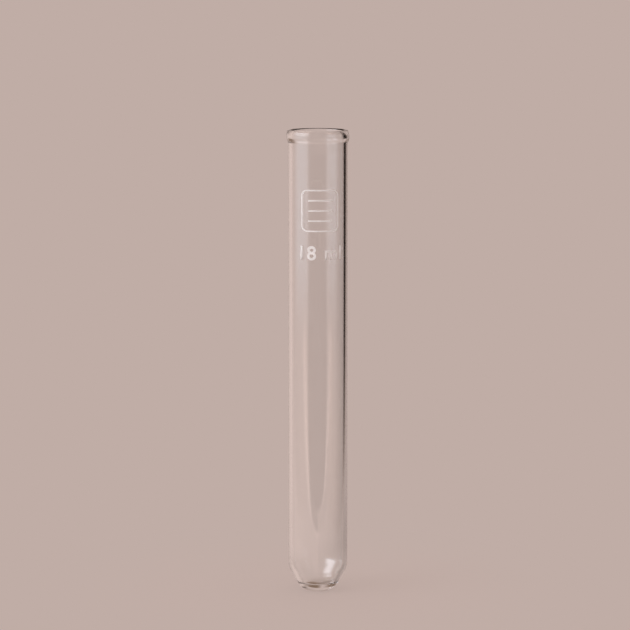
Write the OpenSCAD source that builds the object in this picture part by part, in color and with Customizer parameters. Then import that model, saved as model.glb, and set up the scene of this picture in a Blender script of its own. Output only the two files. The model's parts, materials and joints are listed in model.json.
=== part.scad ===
// Test tube of clear glass with a tapered bottom, a beaded rim and white enamel marks fired onto the wall.
// The tube is upright: its axis is Z, the middle of the bottom is at the origin, and the marks face -Y.
// All sizes are in millimetres.

/* [Tube] */
// Outside diameter of the wall
tube_d = 16; // [13:0.5:30]
// Overall length, from the bottom to the crown of the rim
tube_length = 125; // [75:1:200]
// Thickness of the wall
wall = 1; // [0.8:0.05:2]

/* [Bottom] */
// Thickness of the glass at the middle of the bottom, where it gathers as the end is closed
base_wall = 2.5; // [1.5:0.1:4]
// Angle in degrees between the tapered shoulder of the bottom and the tube's axis
base_slope = 29; // [20:1:40]
// Radius between the wall and the shoulder
shoulder_r = 5; // [2.2:0.1:6]
// Diameter of the flat at the middle of the bottom, where the soft end was pressed
base_flat_d = 4; // [2:0.2:6]
// Radius between the shoulder and that flat
base_corner_r = 4; // [2:0.1:5]
// Radius between the shoulder and the floor, inside the tube
bowl_corner_r = 0.8; // [0.4:0.1:1.5]

/* [Rim] */
// How far the bead stands out from the wall
bead_out = 0.45; // [0.2:0.05:1.2]
// Height of the bead, from the crown of the rim down to its underside
bead_h = 3.2; // [2:0.1:5]
// Radius of the melted edges of the mouth, outside and inside
lip_r = 0.4; // [0.2:0.05:0.5]

/* [Enamel] */
// Thickness of the fired enamel
enamel_t = 0.05; // [0.03:0.01:0.2]
// Width of a printed line
stroke = 0.4; // [0.3:0.05:1]
// Width of the writing panel, measured round the wall
panel_w = 10.6; // [8:0.2:16]
// Height of the writing panel
panel_h = 11.2; // [6:0.1:30]
// Radius of the panel's corners
panel_corner_r = 1.6; // [0.8:0.1:3]
// Distance from the crown of the rim down to the top of the panel
panel_drop = 15.3; // [8:0.1:40]
// Number of ruled lines inside the panel
rule_count = 3; // [1:1:4]
// Gap between the ends of a ruled line and the panel's frame
rule_inset = 1.6; // [0.5:0.1:2]

/* [Hidden] */
$fn = 96;

glass_colour = [0.86, 0.90, 0.89, 0.35];
enamel_colour = [0.95, 0.94, 0.92];
overshoot = 1;
hair = 0.0005;

tube_r = tube_d / 2;
bore_r = tube_r - wall;

// The bottom, from its flat outwards: a round corner, a straight shoulder and a round into the wall.
// Each round ends where its radius is square to the shoulder.
base_flat_r = base_flat_d / 2;
corner_x = base_flat_r + base_corner_r * cos(base_slope);
corner_z = base_corner_r - base_corner_r * sin(base_slope);
shoulder_x = tube_r - shoulder_r;
cone_top_x = shoulder_x + shoulder_r * cos(base_slope);
cone_top_z = corner_z + (cone_top_x - corner_x) / tan(base_slope);
base_z = cone_top_z + shoulder_r * sin(base_slope);

// Inside, the shoulder keeps the thickness of the wall and ends in a round corner on the flat floor.
bowl_shoulder_r = shoulder_r - wall;
bowl_top_x = shoulder_x + bowl_shoulder_r * cos(base_slope);
bowl_top_z = base_z - bowl_shoulder_r * sin(base_slope);
bowl_corner_z = base_wall + bowl_corner_r;
bowl_low_z = bowl_corner_z - bowl_corner_r * sin(base_slope);
bowl_low_x = bowl_top_x - (bowl_top_z - bowl_low_z) * tan(base_slope);
bowl_flat_r = bowl_low_x - bowl_corner_r * cos(base_slope);

// The bead is a band round the mouth. Its underside is two quarter circles, a round edge and a hollow one.
bead_r = tube_r + bead_out;
edge_r = bead_out / 2;
edge_x = tube_r + edge_r;
under_z = tube_length - bead_h;
bead_low_z = under_z + edge_r;
neck_z = under_z - edge_r;
lip_x = bead_r - lip_r;
lip_z = tube_length - lip_r;

panel_top_z = tube_length - panel_drop;
panel_z = panel_top_z - panel_h;
rule_w = panel_w - 2 * (stroke + rule_inset);
rule_pitch = (panel_h - stroke) / (rule_count + 1);

// Width, seen from the front, of a mark that is arc_w wide round the wall and centred on the front
function front_w(arc_w) = 2 * tube_r * sin(arc_w / tube_d * 180 / PI);

// The part of a drawing between two heights above its base line
module slice(low_z, high_z) {
    difference() {
        intersection() {
            children();
            square([tube_d, high_z]);
        }
        square([tube_d, low_z]);
    }
}

// Right half of the tube's outline, cut through its axis
module outer_half() {
    base_half();
    slice(base_z, lip_z) square([tube_r, tube_length]);
    bead_half();
}

// The bottom: a flat middle, a round corner, the tapered shoulder and a round into the wall
module base_half() {
    square([base_flat_r, base_corner_r]);
    translate([base_flat_r, base_corner_r]) circle(base_corner_r);
    shoulder_half(corner_x, corner_z, cone_top_x, cone_top_z);
    translate([shoulder_x, base_z]) circle(shoulder_r);
}

// A shoulder from one round to the next, filled to the axis and up to the wall.
// It stands in by a hair, so that it crosses both rounds and doesn't only touch them.
module shoulder_half(low_x, low_z, top_x, top_z) {
    polygon([
        [0, low_z],
        [low_x - hair, low_z],
        [top_x - hair, top_z],
        [top_x - hair, base_z],
        [0, base_z]
    ]);
}

// The bead, from the hollow curve that leaves the wall up to the melted outer edge of the mouth
module bead_half() {
    difference() {
        slice(neck_z, under_z) square([edge_x, tube_length]);
        translate([edge_x, neck_z]) circle(edge_r);
    }
    slice(under_z, bead_low_z) {
        square([edge_x, tube_length]);
        translate([edge_x, bead_low_z]) circle(edge_r);
    }
    slice(bead_low_z, lip_z) square([bead_r, tube_length]);
    slice(lip_z, tube_length) {
        square([lip_x, tube_length]);
        translate([lip_x, lip_z]) circle(lip_r);
    }
}

// Right half of the space inside the tube, open past the mouth
module bore_half() {
    translate([0, base_wall]) square([bowl_flat_r, bowl_corner_r]);
    translate([bowl_flat_r, bowl_corner_z]) circle(bowl_corner_r);
    shoulder_half(bowl_low_x, bowl_low_z, bowl_top_x, bowl_top_z);
    translate([shoulder_x, base_z]) circle(bowl_shoulder_r);
    slice(base_z, lip_z) square([bore_r, tube_length]);
    difference() {
        translate([0, lip_z]) square([bore_r + lip_r, lip_r + overshoot]);
        translate([bore_r + lip_r, lip_z]) circle(lip_r);
    }
}

// Rectangle with round corners, centred on x and standing on the drawing's base line
module rounded_plate(w, h, r) {
    translate([r - w / 2, 0]) square([w - 2 * r, h]);
    translate([-w / 2, r]) square([w, h - 2 * r]);
    for (side = [-1, 1], y = [r, h - r]) translate([side * (w / 2 - r), y]) circle(r);
}

// Lays a flat drawing, as seen from the front, on the outside of the wall as a thin coat of enamel
module printed_on_front() {
    intersection() {
        translate([0, 0, panel_z])
            rotate([90, 0, 0]) linear_extrude(tube_r + enamel_t + overshoot) children();
        rotate_extrude()
            translate([tube_r, panel_z - overshoot]) square([enamel_t, panel_h + 2 * overshoot]);
    }
}

// The whole glass piece: wall, bead and bottom are worked in the flame from one length of tubing
module glass_tube() {
    color(glass_colour)
        rotate_extrude()
            intersection() {
                square([tube_d, tube_length]);
                difference() {
                    outer_half();
                    bore_half();
                }
            }
}

// Frame of the writing panel
module panel_frame() {
    color(enamel_colour)
        printed_on_front()
            difference() {
                rounded_plate(front_w(panel_w), panel_h, panel_corner_r);
                translate([0, stroke])
                    rounded_plate(front_w(panel_w - 2 * stroke), panel_h - 2 * stroke, panel_corner_r - stroke);
            }
}

// Ruled lines inside the panel
module panel_rules() {
    color(enamel_colour)
        printed_on_front()
            for (row = [1:rule_count])
                translate([-front_w(rule_w) / 2, row * rule_pitch]) square([front_w(rule_w), stroke]);
}

glass_tube();
panel_frame();
panel_rules();
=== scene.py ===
# %% [markdown]
# # A glass test tube
# The object is one piece of clear glass with white marks fired onto its wall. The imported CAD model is
# loaded first, and it fixes every size and place: what is made here is only how the tube looks.

# %% Load the frame
import json
import math

import bmesh
import bpy
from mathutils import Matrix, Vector


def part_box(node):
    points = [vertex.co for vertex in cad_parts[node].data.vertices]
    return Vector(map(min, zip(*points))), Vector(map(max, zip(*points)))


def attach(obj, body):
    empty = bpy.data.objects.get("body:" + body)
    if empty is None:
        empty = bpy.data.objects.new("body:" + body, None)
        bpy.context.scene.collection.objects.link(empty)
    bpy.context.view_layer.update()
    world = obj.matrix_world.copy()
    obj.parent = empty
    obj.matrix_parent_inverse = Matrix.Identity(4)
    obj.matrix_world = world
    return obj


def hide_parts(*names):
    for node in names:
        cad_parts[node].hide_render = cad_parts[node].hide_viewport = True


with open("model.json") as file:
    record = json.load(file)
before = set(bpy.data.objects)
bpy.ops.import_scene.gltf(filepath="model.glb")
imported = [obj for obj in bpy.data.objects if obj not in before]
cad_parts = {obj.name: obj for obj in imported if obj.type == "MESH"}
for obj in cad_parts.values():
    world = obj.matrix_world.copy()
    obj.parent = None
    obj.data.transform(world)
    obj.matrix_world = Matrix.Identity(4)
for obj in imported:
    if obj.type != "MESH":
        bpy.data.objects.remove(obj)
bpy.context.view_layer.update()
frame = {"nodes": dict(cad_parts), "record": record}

print("CAD nodes:", sorted(frame["nodes"]))

# %% [markdown]
# ## Main sizes
# Blender works in metres here. The record's two mounts give the radius of the bore and of the outer wall,
# and the box of the glass gives the tube's length and the bead's radius. Numbers typed in twice drift apart,
# so these are read from the frame.

# %% Read the tube's sizes from the frame
MM = 0.001
mounts = {mount["name"]: mount for mount in frame["record"]["mounts"]}
bore_r = mounts["mouth_bore"]["dims"]["r_mm"] * MM
wall_r = mounts["outer_wall"]["dims"]["r_mm"] * MM
glass_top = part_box("glass_tube")[1]
tube_length = glass_top.z
bead_out_r = glass_top.x
print(f"wall {wall_r / MM:.2f} mm, bore {bore_r / MM:.2f} mm, length {tube_length / MM:.1f} mm")

# %% [markdown]
# ## Camera
# The photograph looks slightly down at the tube through a long lens, and a little from the left of the
# marks. A camera in Blender looks along its own -Z axis. Its angles could be typed in, but it is easier to
# say where it stands and what it looks at, and to let to_track_quat turn it.

# %% Place the camera
view_turn = math.radians(-4.5)
camera_distance = 0.700
camera_height = 0.1715
aim_height = 0.0753
aim_aside = -0.00076
lens_length = 150.4

ahead = Vector((-math.sin(view_turn), math.cos(view_turn), 0))
aside = Vector((math.cos(view_turn), math.sin(view_turn), 0))
aim = aside * aim_aside + Vector((0, 0, aim_height))

camera = bpy.data.objects.new("camera", bpy.data.cameras.new("camera"))
camera.data.lens = lens_length
camera.location = aside * aim_aside - ahead * camera_distance + Vector((0, 0, camera_height))
camera.rotation_euler = (aim - camera.location).to_track_quat("-Z", "Y").to_euler()
bpy.context.scene.collection.objects.link(camera)
bpy.context.scene.camera = camera
print(f"camera {camera_distance:.3f} m away, {camera_height:.3f} m up")

# %% [markdown]
# ## The glass
# A real tube is drawn and then turned in a flame, so it is a body of revolution, and the plainest model is
# a lathe: half of the cut wall is drawn as one line, and spin carries it round the axis. The line itself is
# drawn with a pen, a single vertex that is swept round a centre for each curve and pushed along for each
# straight. A revolved list of points would do too, but it hides the radii that shape the tube.

# %% A pen that draws arcs and straights
arc_step = math.radians(4)
fewest_arc_steps = 4
straight_steps = 12


def draw_arc(bm, pen, centre_x, centre_z, angle):
    """Sweeps the pen round a centre. A negative angle turns the line outwards and up."""
    steps = max(fewest_arc_steps, math.ceil(abs(angle) / arc_step))
    swing = {"cent": (centre_x, 0, centre_z), "axis": (0, 1, 0), "angle": angle, "steps": steps}
    swept = bmesh.ops.spin(bm, geom=[pen], **swing)
    return next(item for item in swept["geom_last"] if isinstance(item, bmesh.types.BMVert))


def draw_straight(bm, pen, end_x, end_z):
    """Pushes the pen to a new place in short steps."""
    start = pen.co.copy()
    end = Vector((end_x, 0, end_z))
    for step in range(1, straight_steps + 1):
        pen = bmesh.ops.extrude_vert_indiv(bm, verts=[pen])["verts"][0]
        pen.co = start.lerp(end, step / straight_steps)
    return pen


print(f"pen ready: a vertex every {math.degrees(arc_step):.0f} degrees of an arc")

# %% [markdown]
# ### Where the curves touch
# The bottom was closed in the flame and pressed: a small flat, a round corner, a straight taper and a round
# shoulder that runs into the wall. Two curves meet without a crease when their radii lie on one line where
# they touch, and then light runs over the glass with no break. The sizes here are the CAD model's own, which
# no box tells.

# %% Curves of the bottom, outside
quarter = math.pi / 2
base_slope = math.radians(29)
base_flat_r = 2.0 * MM
base_corner_r = 4.0 * MM
shoulder_r = 5.0 * MM

corner_turn = quarter - base_slope
corner_x = base_flat_r + base_corner_r * math.cos(base_slope)
corner_z = base_corner_r - base_corner_r * math.sin(base_slope)
shoulder_x = wall_r - shoulder_r
cone_top_x = shoulder_x + shoulder_r * math.cos(base_slope)
cone_top_z = corner_z + (cone_top_x - corner_x) / math.tan(base_slope)
base_z = cone_top_z + shoulder_r * math.sin(base_slope)
print(f"taper from {corner_z / MM:.2f} to {cone_top_z / MM:.2f} mm, straight wall from {base_z / MM:.2f} mm")

# %% Curves of the bottom, inside
base_wall = 2.5 * MM
bowl_corner_r = 0.8 * MM

bowl_corner_z = base_wall + bowl_corner_r
bowl_shoulder_r = bore_r - shoulder_x
bowl_top_x = shoulder_x + bowl_shoulder_r * math.cos(base_slope)
bowl_top_z = base_z - bowl_shoulder_r * math.sin(base_slope)
bowl_low_z = bowl_corner_z - bowl_corner_r * math.sin(base_slope)
bowl_low_x = bowl_top_x - (bowl_top_z - bowl_low_z) * math.tan(base_slope)
bowl_flat_r = bowl_low_x - bowl_corner_r * math.cos(base_slope)
print(f"floor {base_wall / MM:.1f} mm up and {2 * bowl_flat_r / MM:.1f} mm across")

# %% [markdown]
# ### The rim
# The flame melts the mouth's edge round and leaves the bead swollen like a barrel. The CAD model has a band
# with round edges there. Highlights tell such forms apart, so the bead is drawn rounder here, inside the
# same box: a hollow neck, one wide arc and a crown, each touching the next.

# %% Curves of the rim
lip_r = 0.4 * MM
bead_h = 3.2 * MM
swell_r = 3.0 * MM
crown_r = 0.6 * MM
neck_r = 0.2 * MM

lip_z = tube_length - lip_r
crown_z = tube_length - crown_r
neck_z = tube_length - bead_h - neck_r / 2
under_turn = math.acos(1 - (bead_out_r - wall_r) / (swell_r + neck_r))
swell_x = bead_out_r - swell_r
swell_z = neck_z + (swell_r + neck_r) * math.sin(under_turn)
crown_turn = math.asin((crown_z - swell_z) / (swell_r - crown_r))
crown_x = swell_x + (swell_r - crown_r) * math.cos(crown_turn)
print(f"bead from {neck_z / MM:.2f} mm up, widest at {swell_z / MM:.2f} mm")

# %% [markdown]
# ### One line, once round
# The pen starts under the tube on the axis, goes up the outside, over the rim and down the bore, and ends on
# the axis again. The line is closed by its own turning, so the glass needs no second wall. Spin leaves
# doubled points on the axis, which are merged before the normals are worked out.

# %% Draw the outside and the inside
bm = bmesh.new()
pen = bm.verts.new((0, 0, 0))
pen = draw_straight(bm, pen, base_flat_r, 0)
pen = draw_arc(bm, pen, base_flat_r, base_corner_r, -corner_turn)
pen = draw_straight(bm, pen, cone_top_x, cone_top_z)
pen = draw_arc(bm, pen, shoulder_x, base_z, -base_slope)
pen = draw_straight(bm, pen, wall_r, neck_z)
pen = draw_arc(bm, pen, wall_r + neck_r, neck_z, under_turn)
pen = draw_arc(bm, pen, swell_x, swell_z, -under_turn - crown_turn)
pen = draw_arc(bm, pen, crown_x, crown_z, crown_turn - quarter)

pen = draw_straight(bm, pen, bore_r + lip_r, tube_length)
pen = draw_arc(bm, pen, bore_r + lip_r, lip_z, -quarter)
pen = draw_straight(bm, pen, bore_r, base_z)
pen = draw_arc(bm, pen, shoulder_x, base_z, base_slope)
pen = draw_straight(bm, pen, bowl_low_x, bowl_low_z)
pen = draw_arc(bm, pen, bowl_flat_r, bowl_corner_z, corner_turn)
pen = draw_straight(bm, pen, 0, base_wall)
print(f"line of {len(bm.verts)} points")

# %% Spin the line into a body
spin_steps = 256
weld_reach = 0.001 * MM


def mesh_object(name, bm):
    """Puts a finished bmesh into the scene as an object at the origin."""
    made = bpy.data.objects.new(name, bpy.data.meshes.new(name))
    bm.to_mesh(made.data)
    bm.free()
    bpy.context.scene.collection.objects.link(made)
    return made


whole_line = bm.verts[:] + bm.edges[:]
axis = {"cent": (0, 0, 0), "axis": (0, 0, 1)}
bmesh.ops.spin(bm, geom=whole_line, **axis, angle=4 * quarter, steps=spin_steps, use_merge=True)
bmesh.ops.remove_doubles(bm, verts=bm.verts, dist=weld_reach)
bmesh.ops.recalc_face_normals(bm, faces=bm.faces)
for face in bm.faces:
    face.smooth = True
open_edges = sum(not edge.is_manifold for edge in bm.edges)
glass_volume = bm.calc_volume()

glass = mesh_object("glass_body", bm)
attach(glass, "root")
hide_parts("glass_tube")
print(f"glass: {len(glass.data.polygons)} faces, {open_edges} open edges, {glass_volume / MM**3:.0f} mm3")

# %% [markdown]
# ## Shader sums in Python
# A finish is a sum of simple things: a distance, a noise, a soft step. Drawn as nodes, such sums are hard to
# read, so this class wraps a socket and lets Python's own operators add the Math nodes. Colours go through
# Mix, because a Math node would turn them grey.


# %% A socket that takes part in sums
class Wire:
    def __init__(self, tree, socket=None):
        self.tree = tree
        self.socket = socket

    def add(self, kind, settings=None, inputs=None, output=0):
        """Adds a node, sets it up, fills or links its sockets and returns one of its outputs."""
        node = self.tree.nodes.new(kind)
        for name, value in (settings or {}).items():
            setattr(node, name, value)
        for name, value in (inputs or {}).items():
            if isinstance(value, Wire):
                self.tree.links.new(value.socket, node.inputs[name])
            else:
                node.inputs[name].default_value = value
        return Wire(self.tree, node.outputs[output] if node.outputs else None)

    def math(self, operation, *values):
        inputs = dict(enumerate(values))
        return self.add("ShaderNodeMath", {"operation": operation}, inputs)

    def __add__(self, other):
        return self.math("ADD", self, other)

    def __radd__(self, other):
        return self.math("ADD", other, self)

    def __sub__(self, other):
        return self.math("SUBTRACT", self, other)

    def __rsub__(self, other):
        return self.math("SUBTRACT", other, self)

    def __mul__(self, other):
        return self.math("MULTIPLY", self, other)

    def __rmul__(self, other):
        return self.math("MULTIPLY", other, self)

    def __truediv__(self, other):
        return self.math("DIVIDE", self, other)

    def __abs__(self):
        return self.math("ABSOLUTE", self)

    def step(self, start, end, low=0.0, high=1.0):
        """A soft step from low to high as this value goes from start to end."""
        settings = {"interpolation_type": "SMOOTHSTEP"}
        ends = {"From Min": start, "From Max": end, "To Min": low, "To Max": high}
        return self.add("ShaderNodeMapRange", settings, {"Value": self, **ends})

    def between(self, low, high):
        """The low value where this one is 0 and the high value where it is 1."""
        return low + self * (high - low)

    def mix(self, first, second):
        """The first colour where this value is 0 and the second where it is 1."""
        inputs = {"Factor": self, 6: first, 7: second}
        return self.add("ShaderNodeMix", {"data_type": "RGBA"}, inputs, output=2)


def new_material(name):
    material = bpy.data.materials.new(name)
    material.use_nodes = True
    material.node_tree.nodes.clear()
    return material, Wire(material.node_tree)


def noise(wire, place, scale, detail):
    inputs = {"Vector": place, "Scale": scale, "Detail": detail}
    return wire.add("ShaderNodeTexNoise", inputs=inputs)


def bumped(wire, relief, strength, depth):
    inputs = {"Height": relief, "Strength": strength, "Distance": depth}
    return wire.add("ShaderNodeBump", inputs=inputs)


print("shader sums ready")

# %% [markdown]
# ## Clear glass
# Glass is clear all through, and only its surface bends and throws back light. The drawing of the tube
# leaves faint lines along it, and hands leave dull patches. A flat clear shader would look like computer
# glass, so the bump is a noise pulled out along Z and the roughness a wide, weak one.

# %% Make the glass material
glass_ior = 1.473
line_stretch = (900, 900, 25)
line_depth = 0.05 * MM
clear = (0.987, 0.985, 0.985, 1)
handled = (0.98, 0.978, 0.978, 1)

clear_glass, shade = new_material("clear_glass")
place = shade.add("ShaderNodeTexCoord", output="Object")
along = shade.add("ShaderNodeMapping", inputs={"Vector": place, "Scale": line_stretch})
draw_lines = noise(shade, along, scale=1.0, detail=2.0)
patches = noise(shade, place, scale=160.0, detail=3.0)
finish = {
    "Base Color": patches.step(0.35, 0.7).mix(clear, handled),
    "Roughness": patches.step(0.5, 0.8, low=0.0, high=0.02),
    "IOR": glass_ior,
    "Transmission Weight": 1.0,
    "Normal": bumped(shade, draw_lines, strength=0.02, depth=line_depth),
}
body = shade.add("ShaderNodeBsdfPrincipled", inputs=finish)
shade.add("ShaderNodeOutputMaterial", inputs={"Surface": body})
glass.data.materials.append(clear_glass)
print("clear glass:", len(clear_glass.node_tree.nodes), "nodes")

# %% [markdown]
# ## White enamel
# The marks are powdered white glass, printed through a screen and fired until it melts onto the wall. The
# coat is opaque and a little rough, and its white is cloudy where less powder came through the screen. One
# noise sets colour and gloss together, and a fine one gives the grain.

# %% Make the enamel material
thin_coat = (0.84, 0.83, 0.81, 1)
full_coat = (0.95, 0.94, 0.93, 1)
grain_depth = 0.02 * MM

white_enamel, shade = new_material("white_enamel")
place = shade.add("ShaderNodeTexCoord", output="Object")
clouds = noise(shade, place, scale=900.0, detail=4.0)
grain = noise(shade, place, scale=9000.0, detail=2.0)
finish = {
    "Base Color": clouds.step(0.3, 0.7).mix(thin_coat, full_coat),
    "Roughness": clouds.step(0.3, 0.7, low=0.6, high=0.45),
    "Specular IOR Level": 0.2,
    "Normal": bumped(shade, grain, strength=0.3, depth=grain_depth),
}
body = shade.add("ShaderNodeBsdfPrincipled", inputs=finish)
shade.add("ShaderNodeOutputMaterial", inputs={"Surface": body})
for name in ("panel_frame", "panel_rules"):
    panel_part = frame["nodes"][name]
    panel_part.data.materials.clear()
    panel_part.data.materials.append(white_enamel)
print("white enamel:", len(white_enamel.node_tree.nodes), "nodes")

# %% [markdown]
# ## The capacity mark
# Under the panel stands what the straight bore holds, in whole millilitres. Text starts as a flat curve. A
# Curve modifier could bend it, but the mesh is easy to bend by hand: it is cut into narrow upright strips,
# and then each point is carried from the flat drawing onto the round wall.

# %% Write the number flat
ML = 1e-6
number_h = 3.8 * MM
digit_share = 0.729
letter_spacing = 1.12
stroke_swell = 0.1 * MM
capacity = math.floor(math.pi * bore_r**2 * (tube_length - base_z) / ML)

letters = bpy.data.curves.new("capacity_text", "FONT")
letters.body = f"{capacity} ml"
letters.align_x = "CENTER"
letters.space_character = letter_spacing
letters.size = number_h / digit_share
letters.offset = stroke_swell
text = bpy.data.objects.new("capacity_text", letters)
bpy.context.scene.collection.objects.link(text)
bpy.context.view_layer.update()
flat = bpy.data.meshes.new_from_object(text.evaluated_get(bpy.context.evaluated_depsgraph_get()))
bpy.data.objects.remove(text)
print(f"capacity {letters.body}, written {number_h / MM:.1f} mm high")

# %% Cut it into strips and give it the enamel's thickness
panel_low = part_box("panel_frame")[0]
enamel_t = -panel_low.y - wall_r
strip_w = 0.25 * MM
cut_reach = 0.0001 * MM

bm = bmesh.new()
bm.from_mesh(flat)
bmesh.ops.remove_doubles(bm, verts=bm.verts, dist=weld_reach)
flat_half_w = max(vert.co.x for vert in bm.verts)
strips = math.ceil(flat_half_w / strip_w)
for strip in range(-strips, strips + 1):
    everything = bm.verts[:] + bm.edges[:] + bm.faces[:]
    cut = {"plane_co": (strip * strip_w, 0, 0), "plane_no": (1, 0, 0), "dist": cut_reach}
    bmesh.ops.bisect_plane(bm, geom=everything, **cut)
lifted = bmesh.ops.extrude_face_region(bm, geom=bm.faces[:])
for item in lifted["geom"]:
    if isinstance(item, bmesh.types.BMVert):
        item.co.z = enamel_t
print(f"{2 * strips} strips, {2 * flat_half_w / MM:.1f} mm wide, {enamel_t / MM:.2f} mm thick")

# %% Wrap it round the wall
number_gap = 3.6 * MM
number_bottom = panel_low.z - number_gap - number_h
for vert in bm.verts:
    wrap = vert.co.x / wall_r
    out = wall_r + vert.co.z
    vert.co = (out * math.sin(wrap), -out * math.cos(wrap), number_bottom + vert.co.y)
bmesh.ops.recalc_face_normals(bm, faces=bm.faces)

mark = mesh_object("capacity_mark", bm)
mark.data.materials.append(white_enamel)
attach(mark, "root")
print(f"capacity mark: {len(mark.data.polygons)} faces, {number_bottom / MM:.1f} mm up")

# %% [markdown]
# ## What the glass shows
# Clear glass has no look of its own: it shows what is around it, bent and mirrored, so the surroundings
# matter as much as the tube. The camera sees one pale backdrop, and dull surfaces get an even light. The
# glass sees a room and a table with a pattern. Light Path tells which of them is asking. From other sides
# the room's darks and lights would stand straight behind the tube, so light that crosses the glass
# unmirrored mostly sees the backdrop too, outside the sector that the main view looks towards.

# %% Helpers for a pattern round the tube
sector_half_width = 38


def times(colour, factor):
    return tuple(part * factor for part in colour[:3]) + (1,)


def dot(wire, vector):
    inputs = {0: wire, 1: vector}
    return wire.add("ShaderNodeVectorMath", {"operation": "DOT_PRODUCT"}, inputs, output="Value")


def turn_step(angle, start, end, low=0.0, high=1.0):
    """A soft step between two directions in degrees: 0 is straight ahead, 90 is to the right."""
    return angle.step(math.radians(start), math.radians(end), low, high)


def zone(angle, middle, half_width, soft):
    """1 inside a range of angles in degrees, 0 outside it, with a soft edge."""
    off = abs(angle - math.radians(middle))
    return turn_step(off, half_width + soft, half_width - soft)


def light_path(wire, fact):
    return wire.add("ShaderNodeLightPath", output=fact)


def by_way_of_glass(wire):
    """1 for what is seen through or in the glass, 0 for what the camera or a dull surface sees."""
    return 1 - light_path(wire, "Is Camera Ray") - light_path(wire, "Is Diffuse Ray")


def straight_through(wire, turn):
    """1 for what shows through the glass unmirrored, outside the sector behind the tube."""
    bounces = light_path(wire, "Glossy Depth") + light_path(wire, "Diffuse Depth")
    unmirrored = light_path(wire, "Is Transmission Ray") * bounces.step(0.9, 0.1)
    return unmirrored * (1 - zone(turn, middle=0, half_width=sector_half_width, soft=6))


print(f"sector behind the tube: {2 * sector_half_width} degrees wide")

# %% [markdown]
# ## The room
# The room is pale ahead and on the left, dark on the right, and brown in two places higher up. One wide soft
# lamp stands on the left. The bead and the bottom show these lights and darks, since they curve most. Walls
# and lamps could be modelled, but a world shader needs only two angles: the turn round the tube and the
# height above the table.

# %% Two angles for the room
world = bpy.data.worlds.new("room")
bpy.context.scene.world = world
world.use_nodes = True
world.node_tree.nodes.clear()

sky = Wire(world.node_tree)
towards = sky.add("ShaderNodeTexCoord", output="Generated")
turn = sky.math("ARCTAN2", dot(towards, aside), dot(towards, ahead))
height = sky.math("ARCSINE", dot(towards, (0, 0, 1)))
print("room angles:", len(world.node_tree.nodes), "nodes")

# %% Walls of the room
backdrop = (0.527, 0.418, 0.381, 1)
brown = (0.20, 0.13, 0.09, 1)

pale_ahead = times(backdrop, 1.04)
pale_left = times(backdrop, 1.25)
pale_right = times(backdrop, 1.15)
dark_low = times(brown, 0.1)
dark_high = times(brown, 0.8)

raised = turn_step(height, 3, 7)
pale_wall = turn_step(turn, 0, -40).mix(pale_ahead, pale_left)
dark_wall = raised.mix(dark_low, dark_high)
room = zone(turn, middle=88, half_width=62, soft=8).mix(pale_wall, dark_wall)
pale_corner = zone(turn, middle=50, half_width=22, soft=8) * raised
room = pale_corner.mix(room, pale_right)
brown_left = zone(turn, middle=-42, half_width=24, soft=10) * raised
brown_ahead = zone(turn, middle=9, half_width=13, soft=6) * zone(height, middle=20.5, half_width=8.5, soft=3)
room = (brown_left + brown_ahead).mix(room, brown)
print("walls:", len(world.node_tree.nodes), "nodes")

# %% The lamp
soft_light = (1.69, 1.74, 1.86, 1)
lamp_turn = -113
lamp_half_width = 26
lamp_gain = 3.1

lamp_colour = turn_step(height, 8, 14).mix(soft_light, times(soft_light, lamp_gain))
lamp = zone(turn, lamp_turn, lamp_half_width, soft=16) * zone(height, middle=18, half_width=22, soft=4)
room = lamp.mix(room, lamp_colour)
print(f"lamp at {lamp_turn} degrees, {2 * lamp_half_width} degrees wide")

# %% Choose between room, backdrop and daylight
daylight = (0.72, 0.63, 0.61, 1)

low_or_aside = sky.math("MAXIMUM", turn_step(height, 10, 6), turn_step(abs(turn), 70, 80))
room = (straight_through(sky, turn) * low_or_aside).mix(room, backdrop)
seen = by_way_of_glass(sky).mix(backdrop, room)
seen = light_path(sky, "Is Diffuse Ray").mix(seen, daylight)
surround = sky.add("ShaderNodeBackground", inputs={"Color": seen})
sky.add("ShaderNodeOutputWorld", inputs={"Surface": surround})
print("room:", len(world.node_tree.nodes), "nodes")

# %% [markdown]
# ## Key light
# The world lights the enamel evenly from all round. A soft lamp on the left gives it a lit side and lets the
# tube throw a faint shadow. The glass already mirrors the room's own lamp, so this one is hidden from it.

# %% Hang the key light
key_size = 0.3
key_power = 0.3
key_left = 0.55
key_front = 0.25
key_height = 0.35
key_aim_height = 0.06

key = bpy.data.objects.new("key_light", bpy.data.lights.new("key_light", "AREA"))
key.data.size = key_size
key.data.energy = key_power
key.location = Vector((0, 0, key_height)) - aside * key_left - ahead * key_front
key_aim = Vector((0, 0, key_aim_height)) - key.location
key.rotation_euler = key_aim.to_track_quat("-Z", "Y").to_euler()
key.visible_glossy = False
key.visible_transmission = False
bpy.context.scene.collection.objects.link(key)
print(f"key light {key_power} W, {key_aim.length:.2f} m from the tube")

# %% [markdown]
# ## The table
# The camera looks down, so through the upright wall and in it the eye meets the table, pulled out into long
# upright shapes. A pale sheet lies there, painted lighter towards the lamp on the left. On the right it ends
# and the table is dark, which draws the dark line along the tube's edge. In front a painted highlight runs
# along its edge, and past that all is painted shade. Far off on the left the lamp's light is painted on it
# as a glow. Planes could be cut to these shapes, but a pattern on one disc can have soft edges.

# %% Lay the table
table_r = 2.5
table_sides = 64

bm = bmesh.new()
bmesh.ops.create_circle(bm, cap_ends=True, radius=table_r, segments=table_sides)
table = mesh_object("table", bm)
print(f"table {2 * table_r:.0f} m across")

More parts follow.
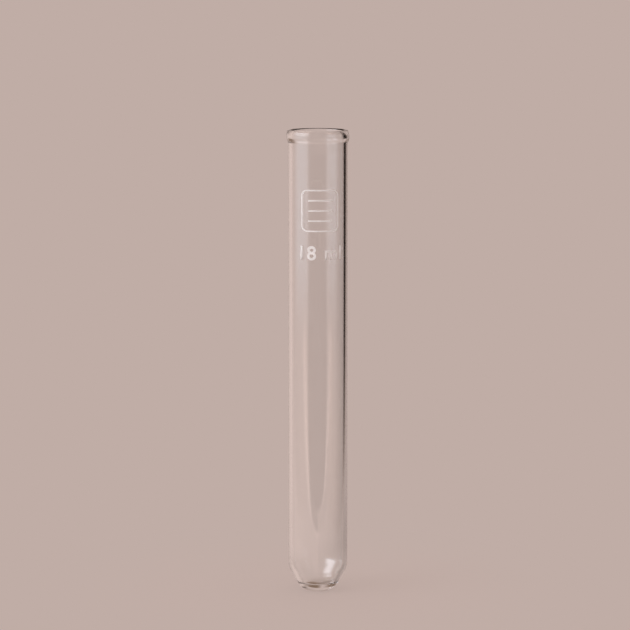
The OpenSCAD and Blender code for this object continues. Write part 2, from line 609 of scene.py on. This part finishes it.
# %% Places on the table
table_top, shade = new_material("table_top")
place = shade.add("ShaderNodeTexCoord", output="Object")
right = dot(place, aside)
front = dot(place, -ahead)
near = shade.add("ShaderNodeVectorMath", {"operation": "LENGTH"}, {0: place}, output="Value")
turn = shade.math("ARCTAN2", right, -1 * front)
leftward = shade.math("MAXIMUM", -1 * right, 0.0)
rightward = shade.math("MAXIMUM", right, 0.0)
behind = shade.math("MAXIMUM", -1 * front, 0.0)
print("places on the table:", len(table_top.node_tree.nodes), "nodes")

# %% The sheet and the dark table on its right
sheet_side = 0.08
side_slope = 0.455
side_soft = 0.16
dark_far = 0.6
dark_near = 0.2

# Painted light and shade: the sheet is painted lighter towards the lamp on the left and duller on the right.
lighter_left = turn_step(turn, 0, -40, low=1.0, high=1.25)
lamp_side = turn_step(turn, -50, -110, low=1.0, high=1.9)
duller_right = turn_step(turn, 0, 14, low=1.04, high=0.84)
sheet = lighter_left * lamp_side * duller_right
dark_table = turn_step(turn, 60, 110, low=0.03, high=0.55) * near.step(dark_far, dark_near, low=0.1)
past_side = ((right - sheet_side - side_slope * behind) / near).step(-side_soft, side_soft)
gain = past_side.between(sheet, dark_table)
print(f"sheet ends {sheet_side * 100:.0f} cm to the right")

# %% The sheet's front edge
sheet_front = 0.085
edge_highlight_slope = 0.44
edge_highlight_width = 0.2
edge_highlight_end = 0.6
edge_highlight_full = 0.4
edge_highlight_middle = 0.02
edge_highlight_left_gain = 2.2
edge_highlight_right_gain = 1.0
shade_left = 1.15
shade_right = 0.8
shade_soft = 0.1
shade_gain = 0.2

# A painted highlight: a bright band along the sheet's front edge, stronger on the left.
off_edge_highlight = abs(front - sheet_front - edge_highlight_slope * (leftward + rightward)) / near
edge_highlight = off_edge_highlight.step(edge_highlight_width, 0.0) * near.step(edge_highlight_end, edge_highlight_full)
edge_highlight = edge_highlight * right.step(-edge_highlight_middle, edge_highlight_middle, edge_highlight_left_gain, edge_highlight_right_gain)
# Painted shade: past a curve in front of the tube the sheet is painted down to a fifth of its brightness.
aslant = shade_left * leftward + shade_right * rightward
shade_edge = shade.math("SQRT", sheet_front**2 + aslant * aslant)
lit = ((front - shade_edge) / near).step(shade_soft, -shade_soft)
gain = lit.between(shade_gain, gain + edge_highlight)
print(f"sheet ends {sheet_front * 100:.1f} cm in front")

# %% [markdown]
# ### Close to the tube
# Through the bottom the eye meets the table just round the tube. The sheet is even there, with duller sides
# and a lighter left flank, and a painted brown shadow where the tube stands and keeps the light away. The
# bottom shows that painted shadow as small dark patches. A matte table would take a real shadow there, but
# a shadow seen through glass is slow to render clean.

# %% An even sheet round the tube, with dull sides
plain_r = 0.015
pattern_r = 0.06
plain_gain = 1.06
dull_end = 0.16
dull_full = 0.05
dull_start = 0.01
dull_inner = 0.03
flank_end = 0.045
flank_full = 0.02

gain = near.step(plain_r, pattern_r).between(plain_gain, gain)
dull_sides = turn_step(turn, 12, 24, high=0.12) + turn_step(turn, -12, -24, high=0.06)
ring = near.step(dull_end, dull_full) * near.step(dull_start, dull_inner)
gain = gain * (1 - dull_sides * ring)
flanks = turn_step(turn, 40, 60, high=0.32) + turn_step(turn, -40, -60, high=-0.18)
gain = gain * (1 - flanks * near.step(flank_end, flank_full))
print(f"even sheet out to {plain_r / MM:.0f} mm")

# %% Painted shadow under the tube
spot_left = 0.002
spot_front = 0.001
spot_r = 0.0024
spot_soft = 0.0012
foot_end = 0.011
foot_full = 0.007
foot_front = 0.003
foot_left = 0.008
foot_right = 0.004
foot_least = 0.5

# Painted shadow under the tube, in brown: a small round patch just left of the axis and a wider patch in
# front of it, weaker on the left.
off_left = right + spot_left
off_front = front - spot_front
off_spot = shade.math("SQRT", off_left * off_left + off_front * off_front)
shadow_spot = off_spot.step(spot_r + spot_soft, spot_r - spot_soft)
foot_shadow = near.step(foot_end, foot_full) * front.step(0.0, foot_front)
foot_shadow = foot_shadow * right.step(-foot_left, foot_right, low=foot_least)
print(f"dark spot {2 * spot_r / MM:.1f} mm across")

# %% Colour the pattern
table_brown = (0.56, 0.37, 0.28, 1)
glow_start = 0.42
glow_full = 0.85
plain_from = 0.05
plain_full = 0.09

tone = past_side.mix(backdrop, table_brown)
pattern = shade.add("ShaderNodeVectorMath", {"operation": "SCALE"}, {0: tone, "Scale": gain})
# A painted glow of the lamp's light on the table, far off on the left.
glow = zone(turn, lamp_turn, lamp_half_width, soft=14) * near.step(glow_start, glow_full)
pattern = glow.mix(pattern, soft_light)
# The painted shadow under the tube is laid on the pattern in brown.
pattern = shade.math("MAXIMUM", shadow_spot, foot_shadow).mix(pattern, brown)
pattern = (straight_through(shade, turn) * near.step(plain_from, plain_full)).mix(pattern, backdrop)
print("pattern:", len(table_top.node_tree.nodes), "nodes")

# %% [markdown]
# ### A floor that is all one with the backdrop
# To the camera the table gives off the backdrop's own colour, so that no edge shows between them. Light that
# a surface gives off takes no shadow, so near the tube a share of it is a matte surface, which does.

# %% Join pattern, backdrop and shadow
shadow_share = 0.2
shadow_reach = 0.08

seen = by_way_of_glass(shade).mix(backdrop, pattern)
light = shade.add("ShaderNodeEmission", inputs={"Color": seen})
matte = shade.add("ShaderNodeBsdfDiffuse", inputs={"Color": times(backdrop, 1.2)})
share = near.step(shadow_reach, 0.0) * light_path(shade, "Is Camera Ray") * shadow_share
cover = shade.add("ShaderNodeMixShader", inputs={0: share, 1: light, 2: matte})
shade.add("ShaderNodeOutputMaterial", inputs={"Surface": cover})
table.data.materials.append(table_top)
print("table top:", len(table_top.node_tree.nodes), "nodes")

# %% [markdown]
# ## The view transform
# Standard shows each colour as it is written, with no film look on top.

# %% Set the view transform
bpy.context.scene.view_settings.view_transform = "Standard"
